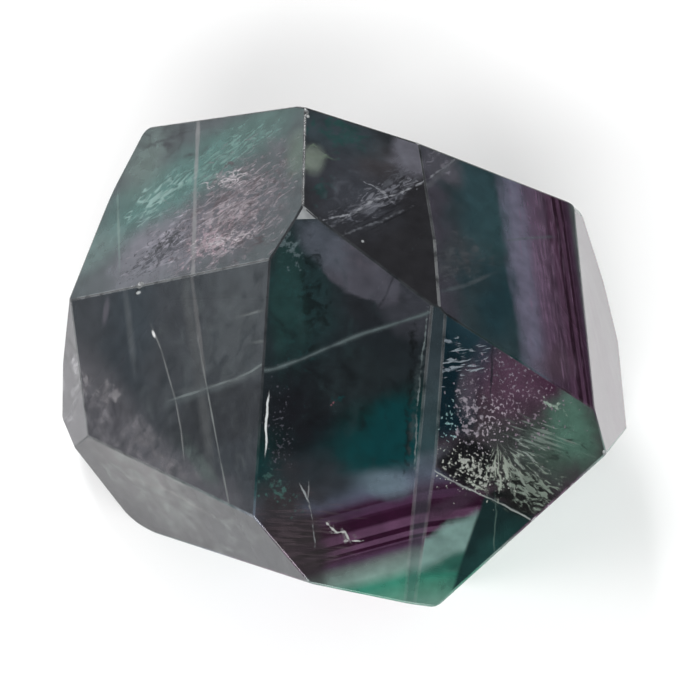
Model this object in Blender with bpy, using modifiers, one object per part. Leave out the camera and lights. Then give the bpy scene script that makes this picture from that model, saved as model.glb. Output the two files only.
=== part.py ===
"""A polished freeform of fluorite: one solid stone, ground flat facet by facet and then tumbled.

Every facet is one flat cut on a rough block. It is placed the way a faceting diagram places it, by
its bearing, its tilt and its reach from the grinding centre inside the stone. The cutter then
softened the edges: the ones between the show facets hardly at all, the ones of the back, the sides
and the underside by a millimetre or more.

Units: lengths in millimetres and angles in degrees, turned to metres and radians where they are used.
Frame: +Z up, the show side faces -Y, the origin lies at the middle of the footprint, on the ground.
"""

import math

import bmesh
import bpy
from mathutils import Matrix, Vector

MM = 0.001

OBJECT_NAME = "fluorite_stone"
COLLECTION_NAME = "polished_fluorite"

# The rough block that the facets are ground from, and the grinding centre's height above the base.
BLANK_SIZE = 130.0
CENTRE_HEIGHT = 21.0

# Where the finished stone's footprint has its middle, seen from the grinding centre.
FOOTPRINT_MIDDLE = (0.18, -0.16)

# Facets as (bearing, tilt, reach). Bearing 0 faces the front (-Y), 90 the right (+X), 180 the back.
# Tilt is how far the facet looks up (+) or down (-). Reach is its distance from the centre.
SHOW_FACETS = {
    "table": (-21.0, 65.0, 15.95),
    "left_slope": (-69.0, 43.0, 17.20),
    "left_crown": (-93.0, 50.0, 19.35),
    "top_step": (98.5, 78.0, 19.75),
    "right_crown": (94.4, 56.2, 21.48),
    "right_crown_rear": (97.3, 56.9, 21.62),
    "front_right": (45.0, 55.0, 21.40),
    "front_right_toe": (43.0, 54.5, 21.65),
    "table_arris": (18.0, 63.8, 19.23),
    "right_wall": (93.0, 22.0, 31.35),
    "front_left_wall": (-47.5, 8.0, 26.30),
    "left_sliver": (-76.5, 20.5, 27.90),
}
GIRDLE_FACETS = {
    "back_wall": (169.0, 20.0, 30.60),
    "back_crown": (160.0, 29.0, 29.95),
    "left_back_wall": (-112.5, -12.0, 39.45),
    "left_end": (-101.0, -15.0, 40.15),
    "right_back_wall": (118.0, -3.0, 39.70),
    "right_end": (91.0, -20.0, 38.60),
}
UNDER_FACETS = {
    "under_left": (-61.0, -33.0, 35.60),
    "under_front": (-13.0, -37.0, 26.85),
    "under_right": (46.0, -25.0, 31.35),
    "under_back": (178.0, -35.0, 30.35),
    "under_right_back": (124.0, -35.0, 35.60),
    "under_left_back": (-135.0, -40.0, 34.00),
    "base": (0.0, -90.0, CENTRE_HEIGHT),
}
FACETS = {**SHOW_FACETS, **GIRDLE_FACETS, **UNDER_FACETS}

# How far each kind of edge is worn back on either side.
SHOW_EDGE = 0.22
GIRDLE_EDGE = 0.35
UNDER_EDGE = 0.8
# Edges that tumbling rounded more than their neighbours.
ROUNDED_EDGES = {
    ("left_end", "under_left"): 0.9,
    ("left_back_wall", "left_end"): 0.9,
    ("under_front", "under_left"): 1.6,
    ("right_back_wall", "under_right_back"): 1.6,
    ("right_end", "under_right_back"): 1.2,
    ("back_crown", "right_back_wall"): 1.6,
    ("left_back_wall", "under_left_back"): 1.6,
    ("back_wall", "under_back"): 0.9,
}
# Two facets that meet at less than this angle keep the faint line between them.
FAINT_EDGE_ANGLE = 4.0
BEVEL_SEGMENTS = 4

# Dark grey-green fluorite, polished.
STONE_COLOUR = (0.075, 0.105, 0.110, 1.0)
STONE_ROUGHNESS = 0.08
STONE_METALLIC = 0.0
FLUORITE_IOR = 1.434

CUT_TOLERANCE = 1e-7


def remove_scene_objects():
    """Empties the scene, so that only the stone is in it."""
    for scene_object in list(bpy.data.objects):
        bpy.data.objects.remove(scene_object, do_unlink=True)


def facet_normal(bearing, tilt):
    """The outward direction of a facet with this bearing and tilt."""
    turn = math.radians(bearing)
    lift = math.radians(tilt)
    level = math.cos(lift)
    return Vector((math.sin(turn) * level, -math.cos(turn) * level, math.sin(lift)))


def grind_facet(mesh, bearing, tilt, reach):
    """Cuts away everything outside one facet's plane and closes the cut with one flat face."""
    normal = facet_normal(bearing, tilt)
    geometry = mesh.verts[:] + mesh.edges[:] + mesh.faces[:]
    cut = bmesh.ops.bisect_plane(
        mesh,
        geom=geometry,
        dist=CUT_TOLERANCE,
        plane_co=normal * reach * MM,
        plane_no=normal,
        clear_outer=True,
    )
    rim = [part for part in cut["geom_cut"] if isinstance(part, bmesh.types.BMEdge)]
    bmesh.ops.holes_fill(mesh, edges=rim, sides=0)


def facet_of(face):
    """The name of the facet that a face of the ground stone lies on."""
    return max(FACETS, key=lambda name: facet_normal(*FACETS[name][:2]).dot(face.normal))


def edge_wear(first, second, angle):
    """How far, in millimetres, the edge between two named facets is worn back."""
    pair = tuple(sorted((first, second)))
    if pair in ROUNDED_EDGES:
        return ROUNDED_EDGES[pair]
    if angle < math.radians(FAINT_EDGE_ANGLE):
        return 0.0
    if first in UNDER_FACETS and second in UNDER_FACETS:
        return UNDER_EDGE
    if first in SHOW_FACETS and second in SHOW_FACETS:
        return SHOW_EDGE
    return GIRDLE_EDGE


def mark_edge_wear(mesh):
    """Writes each edge's wear as its bevel weight, as a share of the widest one."""
    weight = mesh.edges.layers.float.new("bevel_weight_edge")
    widest = max(ROUNDED_EDGES.values())
    for edge in mesh.edges:
        first, second = (facet_of(face) for face in edge.link_faces)
        edge[weight] = edge_wear(first, second, edge.calc_face_angle()) / widest
    return widest


def ground_stone():
    """Grinds the block down to the faceted stone and returns its mesh and its widest edge wear."""
    mesh = bmesh.new()
    bmesh.ops.create_cube(mesh, size=BLANK_SIZE * MM)
    for bearing, tilt, reach in FACETS.values():
        grind_facet(mesh, bearing, tilt, reach)
    bmesh.ops.recalc_face_normals(mesh, faces=mesh.faces[:])
    widest = mark_edge_wear(mesh)
    middle_x, middle_y = FOOTPRINT_MIDDLE
    to_ground = Vector((-middle_x, -middle_y, CENTRE_HEIGHT)) * MM
    bmesh.ops.transform(mesh, matrix=Matrix.Translation(to_ground), verts=mesh.verts[:])
    data = bpy.data.meshes.new(OBJECT_NAME)
    mesh.to_mesh(data)
    mesh.free()
    return data, widest


def fluorite_material():
    """Polished dark fluorite."""
    material = bpy.data.materials.new("polished_fluorite")
    material.use_nodes = True
    shader = material.node_tree.nodes["Principled BSDF"]
    shader.inputs["Base Color"].default_value = STONE_COLOUR
    shader.inputs["Roughness"].default_value = STONE_ROUGHNESS
    shader.inputs["Metallic"].default_value = STONE_METALLIC
    shader.inputs["IOR"].default_value = FLUORITE_IOR
    material.diffuse_color = STONE_COLOUR
    return material


def tumble_edges(stone, widest):
    """Rounds the marked edges."""
    bevel = stone.modifiers.new("tumbled_edges", "BEVEL")
    bevel.limit_method = "WEIGHT"
    bevel.offset_type = "OFFSET"
    bevel.width = widest * MM
    bevel.segments = BEVEL_SEGMENTS
    bevel.use_clamp_overlap = False


def build():
    """Builds the stone in its own collection."""
    remove_scene_objects()
    collection = bpy.data.collections.new(COLLECTION_NAME)
    bpy.context.scene.collection.children.link(collection)
    data, widest = ground_stone()
    stone = bpy.data.objects.new(OBJECT_NAME, data)
    collection.objects.link(stone)
    data.materials.append(fluorite_material())
    tumble_edges(stone, widest)


build()
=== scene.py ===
"""A polished freeform of dark banded fluorite, dressed for a studio picture.

The stone is one ground solid. It is ground here a second time, facet by facet, with the same cuts as
its CAD solid, so that its edges, chips and pits can be finished finely. Its colour is growth zoning
cut open by the facets, with clouds, cleavage lines and flecks that lie just under the polish. The
right wall's pale colour is painted reflection of the pale floor, and a painted highlight runs along
the edges.

Units: lengths in millimetres and angles in degrees in the tables, turned to metres and radians where
they are used. Frame: +Z up, the show side faces -Y, the origin is the middle of the footprint.
"""

import logging
import math
from dataclasses import dataclass, field
from enum import Enum

import bpy
from mathutils import Euler, Matrix, Vector


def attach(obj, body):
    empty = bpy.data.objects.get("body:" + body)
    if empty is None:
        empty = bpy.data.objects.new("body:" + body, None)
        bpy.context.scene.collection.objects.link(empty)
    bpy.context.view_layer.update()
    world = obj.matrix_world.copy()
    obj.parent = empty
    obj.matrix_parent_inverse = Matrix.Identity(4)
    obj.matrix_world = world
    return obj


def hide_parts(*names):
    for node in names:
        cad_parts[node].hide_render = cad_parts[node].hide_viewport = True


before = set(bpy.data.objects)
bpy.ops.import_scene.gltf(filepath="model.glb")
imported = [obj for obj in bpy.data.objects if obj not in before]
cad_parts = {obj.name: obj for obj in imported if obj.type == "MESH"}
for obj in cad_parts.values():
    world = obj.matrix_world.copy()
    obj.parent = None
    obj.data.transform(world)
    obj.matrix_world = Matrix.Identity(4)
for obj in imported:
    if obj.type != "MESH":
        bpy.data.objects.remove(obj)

log = logging.getLogger("fluorite")

MM = 0.001
NODE_NAME = "fluorite_stone"
BODY_NAME = "root"
# The face attribute that says how far a place has lost its polish at the chips, and how strong the painted
# highlight is along the edges, from 0 to 1.
WEAR_AND_EDGE_HIGHLIGHT = "worn"

# The grinding centre inside the stone, from which every facet's reach is measured.
GRINDING_CENTRE = Vector((-0.18, 0.16, 21.0))
BLANK_SIZE = 130.0
# A face lies along a facet when the cosine between their normals is above this.
SAME_WAY = 0.99999


def linear(code: str) -> tuple[float, float, float, float]:
    """Turns an sRGB hex colour into a linear one.

    Args:
        code: Six hex digits, such as "4a5b5c".

    Returns:
        Linear red, green, blue and a full alpha.
    """
    parts = [int(code[start : start + 2], 16) / 255 for start in (0, 2, 4)]
    red, green, blue = (c / 12.92 if c <= 0.04045 else ((c + 0.055) / 1.055) ** 2.4 for c in parts)
    return red, green, blue, 1.0


def add_node(
    tree: bpy.types.NodeTree, kind: str, settings: dict | None = None, inputs: dict | None = None
) -> bpy.types.Node:
    """Adds a node with its settings, its input values and its links.

    Args:
        tree: The tree that the node goes into.
        kind: The node's type name.
        settings: Properties of the node itself.
        inputs: Input name or number, with a value, or with the output socket that feeds it.

    Returns:
        The new node.
    """
    node = tree.nodes.new(kind)
    for name, value in (settings or {}).items():
        setattr(node, name, value)
    for key, value in (inputs or {}).items():
        if isinstance(value, bpy.types.NodeSocket):
            tree.links.new(value, node.inputs[key])
        else:
            node.inputs[key].default_value = value
    return node


def fill_ramp(ramp: bpy.types.Node, stops: list[tuple[float, str]]) -> None:
    """Gives a colour ramp its stops.

    Args:
        ramp: The ramp's node.
        stops: Each stop's place from 0 to 1, with its sRGB hex colour.
    """
    elements = ramp.color_ramp.elements
    while len(elements) > 1:
        elements.remove(elements[-1])
    elements[0].position, elements[0].color = stops[0][0], linear(stops[0][1])
    for at, code in stops[1:]:
        elements.new(at).color = linear(code)


# ---------------------------------------------------------------------------------------------
# The facets
# ---------------------------------------------------------------------------------------------


@dataclass(frozen=True)
class Facet:
    """One flat cut, placed by its bearing, its tilt and its reach from the grinding centre.

    A point on a facet is given on the facet's own map: u runs level, to the right of someone who
    looks at the facet, and v runs up its slope. The map's zero is the foot of the grinding centre.

    Attributes:
        bearing: The way it faces, in degrees: 0 is the front (-Y), 90 the right (+X), 180 the back.
        tilt: How far it looks up (+) or down (-), in degrees.
        reach: Its distance from the grinding centre, in millimetres.
    """

    bearing: float
    tilt: float
    reach: float

    @property
    def normal(self) -> Vector:
        """The outward direction.

        Returns:
            A vector of length 1.
        """
        turn, lift = math.radians(self.bearing), math.radians(self.tilt)
        level = math.cos(lift)
        return Vector((math.sin(turn) * level, -math.cos(turn) * level, math.sin(lift)))

    @property
    def across(self) -> Vector:
        """The direction of u on the facet's map."""
        turn = math.radians(self.bearing)
        return Vector((math.cos(turn), math.sin(turn), 0.0))

    @property
    def upslope(self) -> Vector:
        """The direction of v on the facet's map."""
        return self.normal.cross(self.across)

    def place(self, u: float, v: float) -> Vector:
        """The point at (u, v) on the map, in metres."""
        local = self.normal * self.reach + self.across * u + self.upslope * v
        return (GRINDING_CENTRE + local) * MM

    def towards(self, degrees: float) -> Vector:
        """The direction on the facet that lies so many degrees up from the map's u."""
        angle = math.radians(degrees)
        return self.across * math.cos(angle) + self.upslope * math.sin(angle)

    def turned(self, degrees: float) -> Euler:
        """The map's own axes, turned about the facet's normal."""
        axes = Matrix((self.across, self.upslope, self.normal)).transposed()
        return (axes @ Matrix.Rotation(math.radians(degrees), 3, "Z")).to_euler()


SHOW_FACETS = {
    "table": Facet(-21.0, 65.0, 15.95),
    "left_slope": Facet(-69.0, 43.0, 17.20),
    "left_crown": Facet(-93.0, 50.0, 19.35),
    "top_step": Facet(98.5, 78.0, 19.75),
    "right_crown": Facet(94.4, 56.2, 21.48),
    "right_crown_rear": Facet(97.3, 56.9, 21.62),
    "front_right": Facet(45.0, 55.0, 21.40),
    "front_right_toe": Facet(43.0, 54.5, 21.65),
    "table_arris": Facet(18.0, 63.8, 19.23),
    "right_wall": Facet(93.0, 22.0, 31.35),
    "front_left_wall": Facet(-47.5, 8.0, 26.30),
    "left_sliver": Facet(-76.5, 20.5, 27.90),
}
GIRDLE_FACETS = {
    "back_wall": Facet(169.0, 20.0, 30.60),
    "back_crown": Facet(160.0, 29.0, 29.95),
    "left_back_wall": Facet(-112.5, -12.0, 39.45),
    "left_end": Facet(-101.0, -15.0, 40.15),
    "right_back_wall": Facet(118.0, -3.0, 39.70),
    "right_end": Facet(91.0, -20.0, 38.60),
}
UNDER_FACETS = {
    "under_left": Facet(-61.0, -33.0, 35.60),
    "under_front": Facet(-13.0, -37.0, 26.85),
    "under_right": Facet(46.0, -25.0, 31.35),
    "under_back": Facet(178.0, -35.0, 30.35),
    "under_right_back": Facet(124.0, -35.0, 35.60),
    "under_left_back": Facet(-135.0, -40.0, 34.00),
    "base": Facet(0.0, -90.0, GRINDING_CENTRE.z),
}
FACETS = {**SHOW_FACETS, **GIRDLE_FACETS, **UNDER_FACETS}
# A corner of the table that was knocked off after the polish, as one more small flat.
BRUISE = Facet(-24.4, 68.7, 16.96)
# Flats that tumbling wore on two corners of the outline.
CORNER_FLATS = (
    Facet(-46.0, -30.0, 33.97),
    Facet(-29.0, -32.0, 30.74),
    Facet(-172.0, 3.0, 40.75),
    Facet(-154.0, -17.0, 42.83),
)


# ---------------------------------------------------------------------------------------------
# What lies under the polish
# ---------------------------------------------------------------------------------------------


@dataclass(frozen=True)
class Texture:
    """How noise breaks up a patch.

    Attributes:
        pitch: Size of the noise along and across the patch, in millimetres.
        push: How far the noise moves the patch's outline, as a share of its half width.
        hold: How much of the patch is held back, so that only the noise's peaks show.
        detail: How many finer layers the noise has.
        twist: How far the noise curls back on itself.
    """

    pitch: tuple[float, float]
    push: float
    hold: float = 0.0
    detail: float = 2.0
    twist: float = 0.0


class Grain(Enum):
    """The kinds of break-up that the stone shows."""

    SMOOTH = None
    CLOUD = Texture(pitch=(3.6, 3.6), push=0.55, detail=3.0)
    MIST = Texture(pitch=(3.2, 2.0), push=1.8, hold=1.0, detail=6.0, twist=0.6)
    SMOKE = Texture(pitch=(6.0, 1.6), push=0.8, detail=3.0)
    CRUMB = Texture(pitch=(0.7, 0.7), push=3.4, hold=0.9, detail=2.0)
    SPECKLE = Texture(pitch=(0.42, 0.42), push=5.0, hold=1.7, detail=1.0)
    CURL = Texture(pitch=(2.1, 0.85), push=3.0, hold=0.9, detail=3.0, twist=1.1)
    FROTH = Texture(pitch=(1.7, 0.7), push=2.8, hold=0.7, detail=3.0, twist=1.5)
    LUMP = Texture(pitch=(1.7, 1.7), push=2.6, hold=0.7, detail=4.0, twist=0.8)
    STREAK = Texture(pitch=(3.4, 0.32), push=2.8, hold=0.9, detail=2.0)
    DASH = Texture(pitch=(1.6, 0.34), push=4.5, hold=1.4, detail=1.0)
    HAIRLINE = Texture(pitch=(3.6, 3.6), push=0.8, detail=3.0)
    SPLINTER = Texture(pitch=(0.7, 0.7), push=1.8, hold=0.35, detail=2.0)


@dataclass(frozen=True)
class Patch:
    """One cloud, streak or cluster of flecks under a facet; on the right wall, a stretch of painted
    reflection.

    Attributes:
        colour: sRGB hex.
        centre: Where it lies on the facet's map, in millimetres.
        size: Half its length and half its width, in millimetres.
        turn: The way its length runs, in degrees up from the map's u.
        strength: How much of what is under it, it covers.
        softness: Over which share of its size it fades.
        grain: How it is broken up.
        rough: How much roughness it adds to the polish.
    """

    colour: str
    centre: tuple[float, float]
    size: tuple[float, float]
    turn: float = 0.0
    strength: float = 1.0
    softness: float = 0.4
    grain: Grain = Grain.SMOOTH
    rough: float = 0.0


@dataclass(frozen=True)
class Crack:
    """One bent line under a facet, such as a cleavage trace or a healed crack.

    Attributes:
        colour: sRGB hex.
        width: Half the line's width, in millimetres.
        points: Where it runs on the facet's map, in millimetres.
        strength: How much of what is under it, it covers.
        softness: Over which share of its width it fades.
        grain: How it is broken up.
        rough: How much roughness it adds to the polish.
    """

    colour: str
    width: float
    points: tuple[tuple[float, float], ...]
    strength: float = 1.0
    softness: float = 0.5
    grain: Grain = Grain.HAIRLINE
    rough: float = 0.0


@dataclass(frozen=True)
class Fan:
    """A burst of fine streaks that spread from one point under a facet.

    Attributes:
        colour: sRGB hex.
        apex: Where the streaks start on the facet's map, in millimetres.
        reach: Where they begin and where they end, in millimetres from the apex.
        heading: The way that they spread, in degrees up from the map's u.
        spread: How far they turn off it to either side, in degrees.
        streaks: How many streaks there are in a radian.
        strength: How much of what is under it, it covers.
        softness: Over which share of its size it fades.
        hold: How much of it is held back, so that only the noise's peaks show.
        rough: How much roughness it adds to the polish.
    """

    colour: str
    apex: tuple[float, float]
    reach: tuple[float, float]
    heading: float
    spread: float
    streaks: float = 8.0
    strength: float = 1.0
    softness: float = 0.4
    hold: float = 0.6
    rough: float = 0.0


Flaw = Patch | Crack | Fan

# The size of a patch that covers a whole facet.
WHOLE = (60.0, 60.0)
# Long lines, as points on their facet's map.
TABLE_SEAM = ((12.2, 6.0), (13.5, 0.0), (14.7, -5.0), (16.8, -12.0))
TABLE_SEAM_SHADE = ((10.8, 5.0), (12.4, 0.0), (13.7, -5.0), (15.8, -12.0))
STEP_FRACTURE = ((8.0, 4.6), (8.9, 1.2), (11.1, -1.9), (12.1, -4.9), (13.5, -7.9), (15.4, -10.6))
STEP_BRANCH = ((5.5, 2.8), (7.0, -0.2), (7.7, -2.3), (9.4, -5.4))
SLOPE_LINE = ((-12.0, -13.1), (-8.6, -13.2), (-1.0, -14.3), (3.2, -15.4), (6.4, -16.6))
SLOPE_SEAM = ((-1.0, -13.7), (0.9, -9.5), (3.7, -3.8), (4.8, 0.4))
TABLE_CLEAVAGE = ((-6.8, -6.9), (-4.3, -5.7), (-1.6, -3.7), (1.6, -0.9), (4.7, 1.7), (9.1, 4.8), (12.4, 7.2))
TABLE_FLAKE = ((9.1, -22.4), (10.2, -23.0), (11.1, -22.6), (12.1, -23.4), (13.1, -23.1))
TABLE_CRACK = ((4.7, -17.9), (5.4, -20.1), (6.8, -22.6), (8.1, -25.5))
TOE_SEAM = ((-7.9, -14.6), (-6.6, -17.6), (-3.4, -23.1), (-0.9, -28.1))

# Each show facet's flaws, from the deepest up; the right wall's are painted reflection of the pale floor
# instead.
FLAWS_AND_PAINTED_REFLECTION: dict[str, list[Flaw]] = {
    "table": [
        Patch("1c3234", (-3.5, 2.0), (11.0, 4.6), -68, 0.9, 0.6, Grain.CLOUD),
        Patch("1a2126", (5.0, -1.5), (7.0, 3.5), 40, 0.8, 0.7, Grain.CLOUD),
        Patch("14151b", (1.5, -10.5), (7.0, 4.6), -68, 0.95, 0.6, Grain.CLOUD),
        Patch("383a41", (9.6, 6.8), (4.6, 3.0), -25, 0.9, 0.4, Grain.CLOUD),
        Patch("4c4c55", (2.7, 9.4), (5.6, 3.3), -15, 0.95, 0.12, Grain.CLOUD),
        Patch("515660", (-3.6, 11.2), (3.8, 2.0), -25, 0.85, 0.4, Grain.CLOUD),
        Patch("57535c", (2.0, 10.6), (4.0, 1.2), -15, 0.5, 0.6, Grain.LUMP),
        Patch("0d1718", (-2.6, 3.6), (7.6, 2.2), -66, 0.85, 0.5, Grain.LUMP),
        Patch("1f3d3f", (-5.0, 3.0), (7.5, 2.2), -66, 0.7, 0.6, Grain.CRUMB),
        Patch("223f3d", (-6.0, 4.0), (7.5, 2.0), -68, 0.6, 0.6, Grain.SMOKE),
        Patch("20282b", (5.5, -3.4), (5.4, 3.4), 40, 0.8, 0.6, Grain.CLOUD),
        Patch("04393c", (12.0, -11.5), (6.4, 3.6), 30, 0.8, 0.9, Grain.CLOUD),
        Patch("02393d", (13.5, -8.9), (4.4, 3.8), -70, 0.9, 0.35, Grain.CLOUD),
        Patch("6a7c88", (14.2, -15.2), (3.6, 1.5), 14, 0.8, 0.6, Grain.CLOUD),
        Patch("2d3036", (5.0, -18.0), (5.5, 3.2), 20, 0.85, 0.6, Grain.CLOUD),
        Patch("2a3a3d", (3.0, -3.0), (16.0, 9.0), -70, 0.5, 0.6, Grain.MIST),
        Patch("0e1216", (2.0, -6.0), (16.0, 9.0), -20, 0.7, 0.6, Grain.MIST),
        Patch("322e30", (4.6, -26.2), (8.8, 5.6), -51, 0.92, 0.5, Grain.CLOUD),
        Patch("54494f", (4.6, -25.0), (7.6, 5.0), 16, 0.5, 0.6, Grain.STREAK),
        Patch("58666a", (-7.4, 9.6), (2.4, 1.5), -50, 0.8, 0.4, Grain.CRUMB),
        Patch("3d5c58", (1.2, -20.0), (3.0, 1.3), -30, 0.8, 0.5, Grain.CRUMB),
        Patch("0c3b3d", (5.2, -7.0), (1.0, 0.7), 60, 0.6, 0.5, Grain.CRUMB),
        Patch("4d4e56", (-0.9, -13.2), (4.4, 1.2), -70, 0.85, 0.5, Grain.SPECKLE),
        Patch("7a4c55", (4.4, -7.6), (0.3, 0.16), 60, 0.8, 0.5, Grain.CRUMB),
        Crack("2b2d33", 0.14, ((6.4, 11.0), (6.2, 7.4), (5.4, 4.4)), 0.6),
        Crack("4c5759", 0.3, TABLE_CLEAVAGE, 0.5, 0.9),
        Crack("5e6a6c", 0.14, TABLE_CLEAVAGE, 0.75, 0.9),
        Crack("0b1012", 0.5, TABLE_SEAM_SHADE, 0.8, 0.6, Grain.SPLINTER),
        Crack("707b7c", 0.12, TABLE_SEAM, 0.85, 0.6, Grain.SPLINTER),
        Crack("3f4a4d", 0.5, ((13.0, 2.0), (14.0, -4.0), (15.6, -10.0)), 0.5, 0.7, Grain.SPLINTER),
        Crack("dfe3e3", 0.13, ((-3.7, -9.8), (-2.9, -12.6), (-2.0, -15.6)), 1.0, 0.5, Grain.HAIRLINE, 0.3),
        Crack("7d8082", 0.1, TABLE_CRACK, 0.9, 0.6, Grain.SPLINTER, 0.2),
        Crack("9aa0a2", 0.1, ((4.2, -19.0), (5.4, -20.1)), 0.9, 0.6, Grain.HAIRLINE, 0.2),
        Patch("6f6a6e", (11.0, -22.6), (1.8, 0.7), -20, 0.8, 0.5, Grain.CRUMB, 0.2),
        Crack("b2b5b2", 0.12, TABLE_FLAKE, 1.0, 0.6, Grain.SPLINTER, 0.3),
    ],
    "left_slope": [
        Patch("45494e", (-3.0, -10.0), WHOLE, 0, 1.0, 0.1),
        Patch("575c60", (-4.0, 1.5), (11.0, 6.0), -30, 0.85, 0.6, Grain.CLOUD),
        Patch("3d4248", (12.0, -8.0), (10.0, 5.6), -30, 0.7, 0.6, Grain.CLOUD),
        Patch("3e474e", (-16.0, -15.5), (8.0, 4.2), -30, 0.7, 0.6, Grain.CLOUD),
        Patch("3a4046", (-8.0, -20.5), (11.0, 2.8), -8, 0.8, 0.6, Grain.CLOUD),
        Patch("5a5a5f", (-7.0, -26.2), (19.0, 5.0), 15, 0.9, 0.45),
        Patch("65656b", (8.0, -18.4), (13.0, 2.6), 31, 0.85, 0.7, Grain.CLOUD),
        Patch("807e83", (-8.0, -26.4), (20.0, 6.0), 15, 0.85, 0.6, Grain.MIST),
        Patch("424248", (-6.0, -26.0), (18.0, 6.0), -35, 0.7, 0.6, Grain.MIST),
        Patch("a09da0", (-11.5, -25.2), (8.0, 3.0), 40, 0.85, 0.6, Grain.MIST),
        Patch("7c7a7e", (5.0, -20.0), (14.0, 3.4), 31, 0.85, 0.6, Grain.MIST),
        Patch("5c6866", (8.0, -15.0), (5.0, 1.2), 12, 0.7, 0.6, Grain.SMOKE),
        Patch("5f6468", (-15.0, -16.5), (5.4, 0.6), -19, 0.6, 0.6, Grain.CLOUD),
        Patch("6c6972", (-20.0, -19.0), (1.6, 0.5), -40, 0.6, 0.6, Grain.CLOUD),
        Patch("5a6063", (0.0, -6.0), (30.0, 18.0), -19, 0.7, 0.6, Grain.MIST),
        Patch("363c41", (2.0, -10.0), (30.0, 16.0), -70, 0.7, 0.6, Grain.MIST),
        Patch("34363a", (5.8, -8.6), (9.5, 4.2), 67, 0.6, 0.25, Grain.CLOUD),
        Crack("5f6264", 0.8, ((-13.0, -5.6), (-2.0, -9.0), (10.0, -13.0)), 0.6, 0.9),
        Crack("6b6c6e", 0.34, ((-14.0, -3.9), (-0.6, -8.5)), 0.8, 0.5),
        Crack("858a8a", 0.12, ((-1.6, -8.2), (11.2, -11.6), (16.0, -12.8)), 0.85, 0.8),
        Crack("7f8283", 0.12, SLOPE_LINE, 0.85, 0.8),
        Crack("5d6568", 0.5, ((-1.0, -14.6), (0.9, -10.2), (3.7, -4.6), (4.8, 0.0)), 0.5, 0.9),
        Crack("7a8283", 0.17, SLOPE_SEAM, 0.85, 0.8),
        Crack("5a5f62", 0.3, ((9.0, 8.0), (6.0, 1.0), (2.6, -6.5), (-1.5, -13.0)), 0.5, 0.9),
        Crack("7a7f80", 0.2, ((-3.0, 0.8), (-1.8, 3.0)), 0.7, 0.8),
        Crack("757b7c", 0.2, ((1.4, 0.8), (2.6, 2.4)), 0.6, 0.8),
        Patch("eef0f0", (-11.4, -13.3), (0.55, 0.2), 0, 1.0, 0.5),
        Patch("131416", (-18.8, -12.3), (1.1, 0.9), 0, 0.9, 0.5, Grain.CRUMB),
        Patch("c4c8c8", (-18.2, -12.9), (0.42, 0.2), 60, 0.9, 0.5),
    ],
    "left_crown": [
        Patch("5b6468", (-18.0, -10.0), WHOLE, 0, 1.0, 0.1),
        Patch("6b6c72", (-17.0, 4.0), (16.0, 8.0), 10, 0.85, 0.6, Grain.MIST),
        Patch("5e7d79", (-26.0, -2.0), (10.0, 3.2), 88, 0.9, 0.7, Grain.CLOUD),
        Patch("5c8782", (-22.5, -15.5), (11.5, 4.6), 96, 0.9, 0.8, Grain.CLOUD),
        Patch("7f968f", (-30.0, -20.0), (3.6, 5.0), 96, 0.5, 0.8, Grain.CLOUD),
        Patch("a3c4bf", (-22.6, -17.0), (6.5, 3.0), 104, 0.85, 0.6, Grain.CURL),
        Patch("86aca5", (-24.0, -6.0), (9.0, 3.2), 100, 0.7, 0.6, Grain.CURL),
        Patch("85848f", (-13.8, -15.0), (8.5, 4.6), 80, 0.9, 0.6, Grain.CLOUD),
        Patch("7f818a", (-10.9, -17.2), (8.0, 3.2), 84, 0.75, 0.6, Grain.CLOUD),
        Patch("7d9492", (-18.8, -28.4), (5.0, 3.0), 80, 0.6, 0.7, Grain.CLOUD),
        Patch("65626c", (-13.0, -5.0), (9.0, 6.4), 78, 0.7, 0.5, Grain.CLOUD),
        Patch("564c52", (-13.5, -2.6), (9.5, 6.6), 96, 0.85, 0.5, Grain.LUMP),
        Patch("8d848b", (-13.8, -2.6), (10.4, 8.8), 92, 0.65, 0.5, Grain.FROTH, 0.2),
        Patch("a99fa6", (-13.6, -3.2), (9.6, 8.0), 98, 0.62, 0.5, Grain.CURL, 0.2),
        Patch("cac2c8", (-19.6, -3.6), (4.0, 1.3), 72, 0.9, 0.6, Grain.FROTH, 0.2),
        Patch("c8bfc5", (-9.6, -4.0), (5.4, 1.3), 70, 0.8, 0.6, Grain.FROTH, 0.2),
        Patch("b09aa4", (-10.6, -6.4), (4.6, 3.0), 92, 0.75, 0.6, Grain.CRUMB, 0.2),
        Patch("a8a5b1", (-13.6, -15.0), (6.0, 4.6), 100, 0.8, 0.6, Grain.CURL, 0.2),
        Patch("474a53", (-12.8, -15.6), (5.4, 2.8), 96, 0.85, 0.5, Grain.FROTH),
        Patch("33363d", (-14.4, -14.4), (3.4, 1.6), 104, 0.8, 0.5, Grain.CRUMB),
        Patch("4a4046", (-7.0, 1.0), (3.8, 1.3), 75, 0.85, 0.6, Grain.CURL),
        Patch("6f8176", (-18.5, 8.0), (3.4, 1.8), 10, 0.7, 0.7, Grain.CLOUD),
        Patch("3f4549", (-32.0, -15.0), (13.5, 7.0), 72, 1.0, 0.5, Grain.MIST),
        Crack("a3a3a5", 0.36, ((-33.6, -10.9), (-21.0, -10.2), (-8.1, -9.2), (-5.0, -9.0)), 0.6, 0.5),
        Crack("8ca39e", 0.2, ((-24.4, -24.6), (-15.0, -23.2)), 0.6, 0.7),
    ],
    "top_step": [
        Patch("303034", (10.0, 0.0), WHOLE, 0, 1.0, 0.1),
        Patch("474a52", (14.5, 0.5), (7.4, 5.6), 0, 0.9, 0.6, Grain.CLOUD),
        Patch("4c484b", (17.8, -3.4), (3.6, 2.6), 0, 0.7, 0.6, Grain.CLOUD),
        Patch("445158", (22.5, 1.0), (6.0, 3.6), 80, 0.9, 0.6, Grain.CLOUD),
        Patch("2a5350", (22.5, 1.5), (4.2, 3.2), 75, 0.8, 0.6, Grain.LUMP),
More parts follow.
